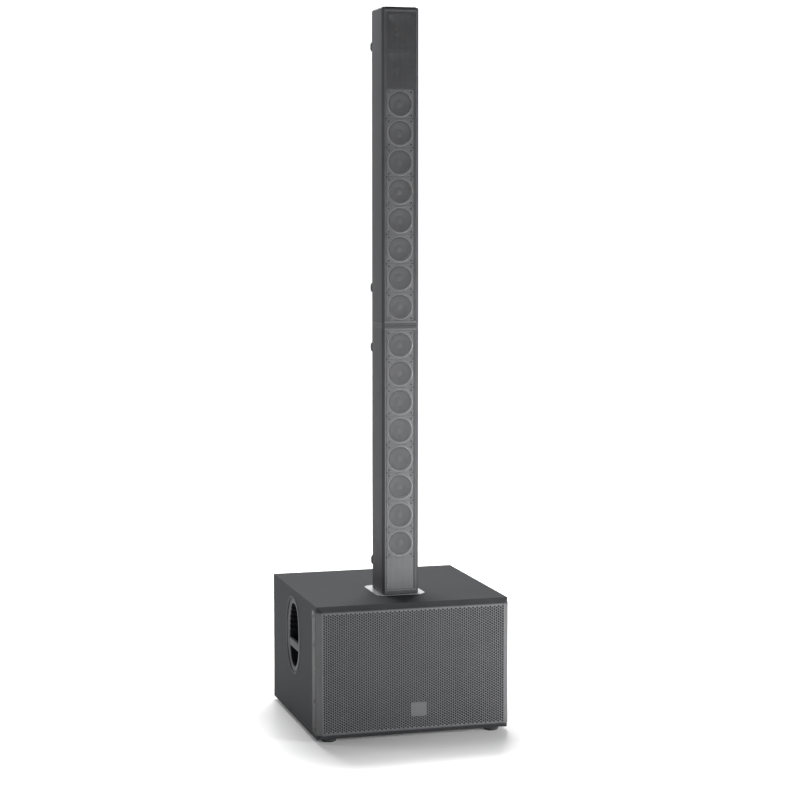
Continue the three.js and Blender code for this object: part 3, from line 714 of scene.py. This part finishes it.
def cone_profile(cap_edge, cap_depth, cap_rise, roll_radius, roll_size, seat, rim, skin):
    """(radius, depth) points of a domed cap, curved cone, half-roll surround and flange."""
    bulge = (cap_edge ** 2 + cap_rise ** 2) / (2 * cap_rise)
    edge_deg = math.degrees(math.asin(cap_edge / bulge)) - 90
    cap = arc_profile(0, cap_depth + bulge - cap_rise, bulge, -90, edge_deg, 7)
    wall_end = roll_radius - roll_size
    wall = []
    for k in range(1, 7):
        t = k / 7
        wall.append((cap_edge + (wall_end - cap_edge) * t, cap_depth + (seat - cap_depth) * t ** 1.2))
    roll = arc_profile(roll_radius, seat, roll_size, 180, 360, 12)
    back = [(rim, seat), (rim, seat + skin), (wall_end, seat + 2 * skin),
            (cap_edge, cap_depth + 2 * skin)]
    return [(0, cap[0][1])] + cap[1:] + wall + roll + back + [(0, cap_depth + 2 * skin)]


def cone_mesh():
    seat = corners("lower_woofer_frames")[0].y + 0.0025
    back = corners("lower_cone_1")[1].y
    bm = bmesh.new()
    profile = cone_profile(cap_edge=0.014, cap_depth=back - 0.001, cap_rise=0.0065,
                           roll_radius=0.0352, roll_size=0.0026, seat=seat, rim=0.0384, skin=0.0005)
    add_lathe(bm, profile, 56)
    return two_tone(closed_mesh(bm, "cone_skin", 40), SURROUND_INNER, (CONE, SURROUND))


def driver_screws_mesh():
    front = corners("lower_woofer_frames")[0].y
    bm = bmesh.new()
    for x in (-1, 1):
        for z in (-1, 1):
            at = (DRIVER_SCREW_AT * x, front, DRIVER_SCREW_AT * z)
            add_screw(bm, at, (0, -1, 0), DRIVER_SCREW)
    return closed_mesh(bm, "driver_screws")


def make_drivers():
    frame_shape, basket, cone, screws = frame_mesh(), basket_mesh(), cone_mesh(), driver_screws_mesh()
    for column in ("lower", "upper"):
        body = f"{column}_column"
        for i in range(1, DRIVERS + 1):
            low, high = corners(f"{column}_cone_{i}")
            at = (0, 0, (low.z + high.z) / 2)
            frames = [f"{column}_woofer_frames"] if i == 1 else []
            show(f"{column}_driver_frame_{i}", frame_shape, body, None, frames, at)
            show(f"{column}_driver_basket_{i}", basket, body, MAGNET, (), at)
            show(f"{column}_driver_screws_{i}", screws, body, BLACK_SCREW, (), at)
            cone_node = f"{column}_cone_{i}"
            show(f"{cone_node}_skin", cone, f"{column}_cones", None, [cone_node], at)


MOUTH_HALF_X = 0.0415
MOUTH_HALF_Z = 0.0540
THROAT = 0.0125
FLARE_DEPTH = 0.031
FLARE_STEPS = 9


def make_horn(i):
    """Waveguide: a flat plate, then a rounded rectangular mouth that narrows to a round throat."""
    low, high = corners(f"tweeter_horn_{i}")
    centre = (0.0, (low.z + high.z) / 2)
    half_x, half_z = (high.x - low.x) / 2 - 0.0004, (high.z - low.z) / 2 - 0.0002
    front = low.y
    count = 96

    def ring(a, b, power, y):
        return [(u, y, v) for u, v in superellipse(a, b, power, count, centre)]

    flare = []
    for k in range(FLARE_STEPS + 1):
        t = k / FLARE_STEPS
        a = MOUTH_HALF_X + (THROAT - MOUTH_HALF_X) * t ** 0.55
        b = MOUTH_HALF_Z + (THROAT - MOUTH_HALF_Z) * t ** 0.75
        flare.append(ring(a, b, 8 - 6 * t ** 0.5, front + 0.0010 + FLARE_DEPTH * t))
    bm = bmesh.new()
    add_loft(bm, [
        ring(half_x, half_z, 16, front + 0.0035), ring(half_x, half_z, 16, front + 0.0005),
        ring(half_x - 0.0005, half_z - 0.0005, 16, front), ring(0.0428, 0.0553, 9, front),
        *flare,
        ring(THROAT, THROAT, 2, front + 0.034), ring(0.020, 0.020, 2, front + 0.034),
        ring(0.040, 0.053, 6, front + 0.0036),
    ], loop=True)
    name = f"waveguide_{i}"
    show(name, closed_mesh(bm, name, 32), "upper_column", HORN, [f"tweeter_horn_{i}"])

    driver = bmesh.new()
    throat = front + 0.0342
    add_lathe(driver, [(0, throat), (0.025, throat), (0.027, throat + 0.002), (0.027, throat + 0.022),
                       (0.025, throat + 0.024), (0, throat + 0.024)], 40, "y", centre)
    show(f"compression_driver_{i}", closed_mesh(driver, f"compression_driver_{i}"),
         "upper_column", MAGNET)
    plug = bmesh.new()
    add_lathe(plug, [(0, throat - 0.010), (0.004, throat - 0.008), (0.009, throat - 0.001),
                     (0.009, throat), (0, throat)], 32, "y", centre)
    show(f"phase_plug_{i}", closed_mesh(plug, f"phase_plug_{i}"), "upper_column", MAGNET)

    screws = bmesh.new()
    edge = 0.0065
    for x in (-1, 1):
        for z in (-1, 1):
            at = (x * (half_x - edge), front, centre[1] + z * (half_z - edge))
            add_screw(screws, at, (0, -1, 0), HORN_SCREW)
    show(f"waveguide_screws_{i}", closed_mesh(screws, f"waveguide_screws_{i}"),
         "upper_column", BLACK_SCREW)


SUB_MOTOR = 0.085
SUB_SURROUND_INNER = 0.1085
SUB_SCREW_CIRCLE = 0.145
SUB_SCREW_COUNT = 8


def make_sub_driver(label):
    low, high = corners(f"sub_woofer_{label}")
    centre = ((low.x + high.x) / 2, (low.z + high.z) / 2)
    reach = (high.x - low.x) / 2
    front, back = low.y, high.y
    seat = front + 0.006
    shape = bmesh.new()
    add_lathe(shape, [
        (0, back), (0.083, back), (SUB_MOTOR, back - 0.002), (SUB_MOTOR, back - 0.016),
        (0.078, back - 0.017), (0.078, back - 0.020), (SUB_MOTOR, back - 0.021),
        (SUB_MOTOR, back - 0.036), (0.072, back - 0.042),
        (0.138, seat + 0.016), (0.138, seat), (reach - 0.001, seat), (reach, seat - 0.001),
        (reach, front + 0.001), (reach - 0.001, front), (0.134, front), (0.132, front + 0.001),
        (0.1315, seat + 0.016), (0.062, back - 0.055), (0, back - 0.055),
    ], 72, "y", centre)
    name = f"sub_basket_{label}"
    show(name, closed_mesh(shape, name), "subwoofer", MAGNET, [f"sub_woofer_{label}"])
    cone_low, cone_high = corners(f"sub_cone_{label}")
    skin = bmesh.new()
    profile = cone_profile(cap_edge=0.045, cap_depth=cone_high.y - 0.006, cap_rise=0.016,
                           roll_radius=0.1185, roll_size=0.0095, seat=cone_low.y + 0.008,
                           rim=0.129, skin=0.0008)
    add_lathe(skin, profile, 72, "y", centre)
    mesh = closed_mesh(skin, f"sub_cone_skin_{label}", 40)
    two_tone(mesh, SUB_SURROUND_INNER, (SUB_CONE, SURROUND), centre)
    show(f"sub_cone_skin_{label}", mesh, "sub_cones", None, [f"sub_cone_{label}"])
    screws = bmesh.new()
    for k in range(SUB_SCREW_COUNT):
        angle = TAU * (k + 0.5) / SUB_SCREW_COUNT
        across, up = SUB_SCREW_CIRCLE * math.cos(angle), SUB_SCREW_CIRCLE * math.sin(angle)
        add_screw(screws, (centre[0] + across, front, centre[1] + up), (0, -1, 0), SUB_DRIVER_SCREW)
    show(f"sub_driver_screws_{label}", closed_mesh(screws, f"sub_driver_screws_{label}"),
         "subwoofer", BLACK_SCREW)


# ---- columns -----------------------------------------------------------------------------------

def column_outline(column):
    """Chamfered front edges, rounded rear edges."""
    low, high = corners(f"{column}_housing")
    w, f, r, c = high.x, low.y, high.y, COLUMN_EDGE
    soft = 0.0006
    return rounded_polygon([
        (c - w, f, soft), (w - c, f, soft), (w, f + c, soft), (w, r, c), (-w, r, c), (-w, f + c, soft),
    ], 8)


def make_housing(column):
    low, high = corners(f"{column}_housing")
    w, f, r, c = high.x, low.y, high.y, COLUMN_EDGE
    wall = COLUMN_WALL
    outer = [(w - c, f, 0.0), (w, f + c, 0.0006), (w, r, c),
             (-w, r, c), (-w, f + c, 0.0006), (c - w, f, 0.0)]
    inner = [(c - w, f + 0.004, 0.0), (wall - w, f + 0.009, 0.0), (wall - w, r - wall, 0.005),
             (w - wall, r - wall, 0.005), (w - wall, f + 0.009, 0.0), (w - c, f + 0.004, 0.0)]
    shell = bmesh.new()
    add_prism(shell, rounded_polygon(outer + inner, 8), low.z, high.z, "z")
    rail_front = corners("lower_woofer_frames")[0].y + 0.0038
    for side in (-1, 1):
        reach = sorted((side * (w - wall + 0.0005), side * 0.040))
        add_block(shell, (reach[0], rail_front, low.z), (reach[1], rail_front + 0.003, high.z))
    name = f"{column}_housing_shell"
    show(name, closed_mesh(shell, name, 30), f"{column}_column", COAT,
         [f"{column}_housing"])


COLUMN_PITCH = 0.00475
COLUMN_COLUMNS = 25
COLUMN_HOLE = 0.00200


def make_column_grille(column):
    low, high = corners(f"{column}_grille")
    height = high.z - low.z
    rows = int((height - 0.007) / COLUMN_PITCH)
    border = (height - rows * COLUMN_PITCH) / 2
    middle = (low.z + high.z) / 2
    name = f"{column}_grille_perforated"
    mesh = perforated_mesh(name, COLUMN_COLUMNS, rows, COLUMN_PITCH, COLUMN_HOLE,
                           [high.x], border, lambda u, v: (u, low.y, middle + v))
    piece = show(name, mesh, f"{column}_column", COLUMN_SHEET, [f"{column}_grille"])
    thicken(piece, high.y - low.y)


def make_top_cap():
    low, high = corners("upper_top_cap")
    radius = 0.008
    bm = bmesh.new()
    rings = [[(x, y, low.z) for x, y in column_outline("upper")]]
    for k in range(9):
        angle = math.radians(90 * k / 8)
        inset = radius * (1 - math.cos(angle))
        z = high.z - radius + radius * math.sin(angle)
        rings.append([(x, y, z) for x, y in shrink(column_outline("upper"), inset)])
    add_loft(bm, rings)
    show("column_top_cap", closed_mesh(bm, "column_top_cap", 40), "upper_column", MOULD,
         ["upper_top_cap"])


def shrink(outline, inset):
    """Pulls an outline's points in towards its middle by about the inset, on both axes."""
    xs, ys = [x for x, _ in outline], [y for _, y in outline]
    middle = ((min(xs) + max(xs)) / 2, (min(ys) + max(ys)) / 2)
    half = ((max(xs) - min(xs)) / 2, (max(ys) - min(ys)) / 2)
    scale = (1 - inset / half[0], 1 - inset / half[1])
    return [(middle[0] + (x - middle[0]) * scale[0], middle[1] + (y - middle[1]) * scale[1])
            for x, y in outline]


REST_RADIUS = 0.017
REST_HEIGHT = 0.020
REST_HEIGHTS = {"lower": (0.092, 0.810), "upper": (0.120, 0.912)}


def make_rests(column):
    """Rubber rests on the column's back, a pair near each end, to lay it down on."""
    high = corners(f"{column}_housing")[1]
    base = corners(f"{column}_bottom_cap")[0].z
    r, y, h = REST_RADIUS, high.y + 0.0001, REST_HEIGHT
    profile = [(1.0, 0.0), (1.0, 0.30), (0.94, 0.36), (0.94, 0.40), (1.0, 0.46), (1.0, 0.76),
               (0.97, 0.86), (0.90, 0.94), (0.78, 1.0), (0.30, 1.0), (0.28, 0.7)]
    rests = bmesh.new()
    for x in (-1, 1):
        for z in REST_HEIGHTS[column]:
            centre = (x * (high.x - r - 0.0004), base + z)
            add_loft(rests, [
                [(u, y + h * share, v) for u, v in superellipse(r * reach, r * reach, 3.6, 56, centre)]
                for reach, share in profile
            ])
    name = f"{column}_rubber_rests"
    show(name, closed_mesh(rests, name, 40), f"{column}_column", RUBBER)


def make_blank_plate():
    """Plain moulded plate behind the grille, between the lower column's base and its first driver."""
    low, high = corners("lower_woofer_frames")
    half = high.x - 0.0004
    plate = bmesh.new()
    base = corners("lower_housing")[0].z + 0.0055
    outline = rounded_box(-half, base, half, low.z - 0.0006, 0.003)
    add_prism(plate, outline, low.y, low.y + 0.0035, "y")
    mesh = closed_mesh(plate, "column_blank_plate")
    piece = show("column_blank_plate", mesh, "lower_column", FRAME)
    soften(piece, 0.0006)


# ---- rear panel --------------------------------------------------------------------------------

def centre_of(node):
    low, high = corners(node)
    return (low.x + high.x) / 2, (low.z + high.z) / 2


KNOB_RIBS = 20
TICKS = 11
TICK_INNER = 0.0128
TICK_OUTER = 0.0155
LONG_TICK_OUTER = 0.0165
LABEL_HALF_WIDTH = 0.012
LABEL_DROP = 0.021
POWER_MARGIN = 0.006
LAMP_PITCH = 0.009
LAMP_RADIUS = 0.0015


def make_knob(name):
    low, high = corners(name)
    x, z = centre_of(name)
    back, front = PANEL_HIGH.y + 0.0008, high.y - 0.0004
    count = 120
    radius = (high.x - low.x) / 2

    def ring(reach, y, ribs=0.0):
        points = []
        for k in range(count):
            angle = TAU * k / count
            size = reach * (1 - ribs * max(0.0, math.cos(KNOB_RIBS * angle)))
            points.append((x + size * math.cos(angle), y, z + size * math.sin(angle)))
        return points

    bm = bmesh.new()
    add_loft(bm, [
        ring(0.003, low.y), ring(0.003, back), ring(radius - 0.0003, back), ring(radius, back + 0.0004),
        ring(radius, back + 0.0020), ring(radius - 0.0008, back + 0.0024, 0.05),
        ring(radius - 0.0016, front - 0.0010, 0.06), ring(radius - 0.0024, front, 0.02),
        ring(0.0055, front), ring(0.0050, front - 0.0004),
    ])
    show(f"{name}_cap", closed_mesh(bm, f"{name}_cap", 40), name, CONTROL, [name])
    mark = bmesh.new()
    add_block(mark, (x - 0.0006, front - 0.0004, z + 0.0035), (x + 0.0006, front + 0.0003, z + 0.0086))
    show(f"{name}_pointer", closed_mesh(mark, f"{name}_pointer"), name, PRINT)


def make_panel_markings():
    """Plain ticks round the knobs, a line under each socket, and lines by the mains inlet."""
    marks = bmesh.new()
    y = PANEL_HIGH.y + 0.0001

    def stroke(x0, z0, x1, z1, width=0.0006):
        along = Vector((x1 - x0, 0, z1 - z0))
        across = Vector((-along.z, 0, along.x)).normalized() * width / 2
        start, end = Vector((x0, 0, z0)), Vector((x1, 0, z1))
        outline = [start - across, end - across, end + across, start + across]
        add_prism(marks, [(p.x, p.z) for p in outline], y - 0.00005, y + 0.00008, "y")

    for knob in ("main_level_knob", "sub_level_knob"):
        x, z = centre_of(knob)
        for k in range(TICKS):
            angle = math.radians(-150 + 30 * k)
            reach = TICK_OUTER if k % 5 else LONG_TICK_OUTER
            stroke(x + TICK_INNER * math.sin(angle), z + TICK_INNER * math.cos(angle),
                   x + reach * math.sin(angle), z + reach * math.cos(angle))
    for jack in ("input_jack_left", "input_jack_right", "link_socket"):
        x, z = centre_of(jack)
        stroke(x - LABEL_HALF_WIDTH, z - LABEL_DROP, x + LABEL_HALF_WIDTH, z - LABEL_DROP)
    low, high = corners("mains_inlet")
    for z in (high.z + POWER_MARGIN, low.z - POWER_MARGIN):
        stroke(low.x - POWER_MARGIN, z, high.x + POWER_MARGIN, z)
    stroke(PANEL_LOW.x + 0.02, high.z + 0.18, PANEL_HIGH.x - 0.02, high.z + 0.18, 0.0005)
    show("panel_markings", closed_mesh(marks, "panel_markings"), "subwoofer", PRINT)


def make_panel_lamps():
    """Four small indicator lamps beside the ground lift button."""
    x, z = centre_of("ground_lift_button")
    for k, material in enumerate((LENS_GREEN, LENS_GREEN, LENS_RED, LENS_RED)):
        lamp = bmesh.new()
        at = (x - 0.020 - LAMP_PITCH * k, z)
        y = PANEL_HIGH.y
        add_lathe(lamp, [(0, y - 0.002), (LAMP_RADIUS, y - 0.002), (LAMP_RADIUS, y + 0.0006),
                         (0.0011, y + 0.0012), (0, y + 0.0014)], 24, "y", at)
        show(f"panel_lamp_{k + 1}", closed_mesh(lamp, f"panel_lamp_{k + 1}", 50), "subwoofer",
             material)


def make_panel_screws():
    screws = bmesh.new()
    y = PANEL_HIGH.y
    inset, socket_inset, inlet_inset, sunk = 0.0075, 0.0035, 0.0055, 0.0001
    xs = [PANEL_LOW.x + inset, 0.0, PANEL_HIGH.x - inset]
    zs = [PANEL_LOW.z + inset, (PANEL_LOW.z + PANEL_HIGH.z) / 2, PANEL_HIGH.z - inset]
    for x in xs:
        for z in zs:
            if x != 0.0 or z != zs[1]:
                add_screw(screws, (x, y, z), (0, 1, 0), PANEL_SCREW)
    for jack in ("input_jack_left", "input_jack_right", "link_socket"):
        low, high = corners(jack)
        for x, z in ((low.x + socket_inset, high.z - socket_inset),
                     (high.x - socket_inset, low.z + socket_inset)):
            add_screw(screws, (x, high.y - sunk, z), (0, 1, 0), SOCKET_SCREW)
    low, high = corners("mains_inlet")
    for x in (low.x + inlet_inset, high.x - inlet_inset):
        add_screw(screws, (x, high.y - sunk, (low.z + high.z) / 2), (0, 1, 0), INLET_SCREW)
    show("panel_screws", closed_mesh(screws, "panel_screws"), "subwoofer", BLACK_SCREW)


def make_rocker_marks():
    """A bar and a ring moulded on the two ends of the rocker."""
    x, z = centre_of("power_rocker")
    tilt = math.radians(-8)
    pivot = Vector((x, PANEL_HIGH.y - 0.001, z))
    turn = Matrix.Translation(pivot) @ Matrix.Rotation(tilt, 4, "X")
    bm = bmesh.new()
    add_block(bm, (-0.0004, 0.0058, 0.0035), (0.0004, 0.0062, 0.0070))
    add_lathe(bm, [(0.0014, 0.0058), (0.0021, 0.0058), (0.0021, 0.0062), (0.0014, 0.0062)],
              24, "y", (0, -0.0052))
    bm.transform(turn)
    show("rocker_marks", closed_mesh(bm, "rocker_marks"), "power_rocker", PRINT)


# ---- build -------------------------------------------------------------------------------------

refine("sub_cabinet", PAINT, 0.0025)
refine("sub_baffle", BLACK_PLY, 0.0006)
refine("port_shelf", BLACK_PLY, 0.0006)
refine("circuit_board", BOARD, 0.0002)
refine("docking_socket", MOULD, 0.0005)
for column in ("lower", "upper"):
    refine(f"{column}_plug", MOULD, 0.0006)
    refine(f"{column}_bottom_cap", CAP_MOULD, 0.0006)
    make_housing(column)
    make_column_grille(column)
    make_rests(column)
refine("lower_top_cap", CAP_MOULD, 0.0006)
make_top_cap()
make_blank_plate()
make_drivers()
for number in (1, 2):
    make_horn(number)

make_sub_grille()
make_grille_screws()
make_badge()
refine("docking_plate", BRUSHED, 0.0004)
for label, side in (("left", -1), ("right", 1)):
    make_handle(label, side)
    make_sub_driver(label)
    for end in ("front", "rear"):
        make_foot(f"{end}_{label}")

refine("amp_panel", PANEL, 0.0003)
refine("heat_sink", SINK, 0.0003)
for node in ("input_jack_left", "input_jack_right", "link_socket", "mains_inlet"):
    refine(node, SOCKET, 0.0003)
for node in ("ground_lift_button", "jack_release_left", "jack_release_right", "power_rocker"):
    refine(node, CONTROL, 0.0003)
for knob in ("main_level_knob", "sub_level_knob"):
    make_knob(knob)
make_panel_markings()
make_panel_lamps()
make_panel_screws()
make_rocker_marks()


# ---- stage, light and camera -------------------------------------------------------------------

NEAR_GLOW = 0.06
FAR_GLOW = 0.80
GLOW_REACH = 0.60


def glow_outward(material):
    """Floor that glows less close to the cabinet's footprint: painted shade round the cabinet, which also
    lets the lamps' contact shadow show there.
    """
    nodes, links = material.node_tree.nodes, material.node_tree.links
    place = nodes.new("ShaderNodeNewGeometry").outputs["Position"]
    for operation, operand in (("ABSOLUTE", None), ("SUBTRACT", (CABINET_HIGH.x, CABINET_HIGH.y, 0)),
                               ("MAXIMUM", (0, 0, 0)), ("LENGTH", None)):
        step = nodes.new("ShaderNodeVectorMath")
        step.operation = operation
        links.new(place, step.inputs[0])
        if operand is not None:
            step.inputs[1].default_value = operand
        place = step.outputs["Value" if operation == "LENGTH" else "Vector"]
    spread = nodes.new("ShaderNodeMapRange")
    spread.interpolation_type = "SMOOTHSTEP"
    spread.inputs["From Max"].default_value = GLOW_REACH
    spread.inputs["To Min"].default_value = NEAR_GLOW
    spread.inputs["To Max"].default_value = FAR_GLOW
    links.new(place, spread.inputs["Value"])
    shader = nodes["Principled BSDF"]
    shader.inputs["Emission Color"].default_value = (1, 1, 1, 1)
    links.new(spread.outputs["Result"], shader.inputs["Emission Strength"])


def make_stage():
    """Round floor that sweeps up into a low backdrop all the way round."""
    flat, bend, rise = 14.0, 4.0, 5.0
    path = [(0, 0.0), (flat, 0.0)]
    for degrees in range(10, 91, 10):
        angle = math.radians(degrees)
        path.append((flat + bend * math.sin(angle), bend - bend * math.cos(angle)))
    path.append((flat + bend, rise))
    bm = bmesh.new()
    add_lathe(bm, path, 96, "z")
    mesh = bpy.data.meshes.new("studio_floor")
    bm.to_mesh(mesh)
    bm.free()
    smooth_mesh(mesh, 60)
    floor = bpy.data.objects.new("studio_floor", mesh)
    bpy.context.scene.collection.objects.link(floor)
    paper = surface("studio_white", (0.78, 0.78, 0.78), 0.36, grain=40, depth=0.0, mottle=0.004,
                    spread=0.005)
    glow_outward(paper)
    mesh.materials.append(paper)


def add_area(name, at, target, size, power):
    lamp = bpy.data.lights.new(name, "AREA")
    lamp.shape = "RECTANGLE"
    lamp.size, lamp.size_y = size
    lamp.energy = power
    light = bpy.data.objects.new(name, lamp)
    bpy.context.scene.collection.objects.link(light)
    light.location = at
    aim = Vector(target) - Vector(at)
    light.rotation_euler = aim.to_track_quat("-Z", "Y").to_euler()


AIR_STRENGTH = 0.04


def make_lights():
    world = bpy.data.worlds.new("studio_air")
    world.use_nodes = True
    background = world.node_tree.nodes["Background"]
    background.inputs["Color"].default_value = (1, 1, 1, 1)
    background.inputs["Strength"].default_value = AIR_STRENGTH
    bpy.context.scene.world = world
    add_area("rear_top_softbox", (0.3, 2.4, 3.9), (0, 0, 0.5), (2.6, 1.3), 350)
    add_area("front_right_key", (1.6, -2.0, 0.6), (0.2, 0, 0.5), (0.6, 1.0), 74)
    add_area("upper_left_fill", (-3.0, 0.9, 3.1), (0, 0, 1.3), (1.3, 1.3), 35)


CAMERA_AT = (-1.8388, -6.5730, 1.7200)
CAMERA_TURN_DEG = 15.98
CAMERA_DOWN_DEG = 5.38
CAMERA_LENS_MM = 91.8


def make_camera():
    data = bpy.data.cameras.new("photo_angle")
    data.sensor_width = 36
    data.lens = CAMERA_LENS_MM
    data.clip_end = 100
    camera = bpy.data.objects.new("photo_angle", data)
    bpy.context.scene.collection.objects.link(camera)
    camera.location = CAMERA_AT
    camera.rotation_euler = (math.radians(90 - CAMERA_DOWN_DEG), 0, math.radians(-CAMERA_TURN_DEG))
    bpy.context.scene.camera = camera


make_stage()
make_lights()
make_camera()
bpy.context.scene.view_settings.view_transform = "Standard"
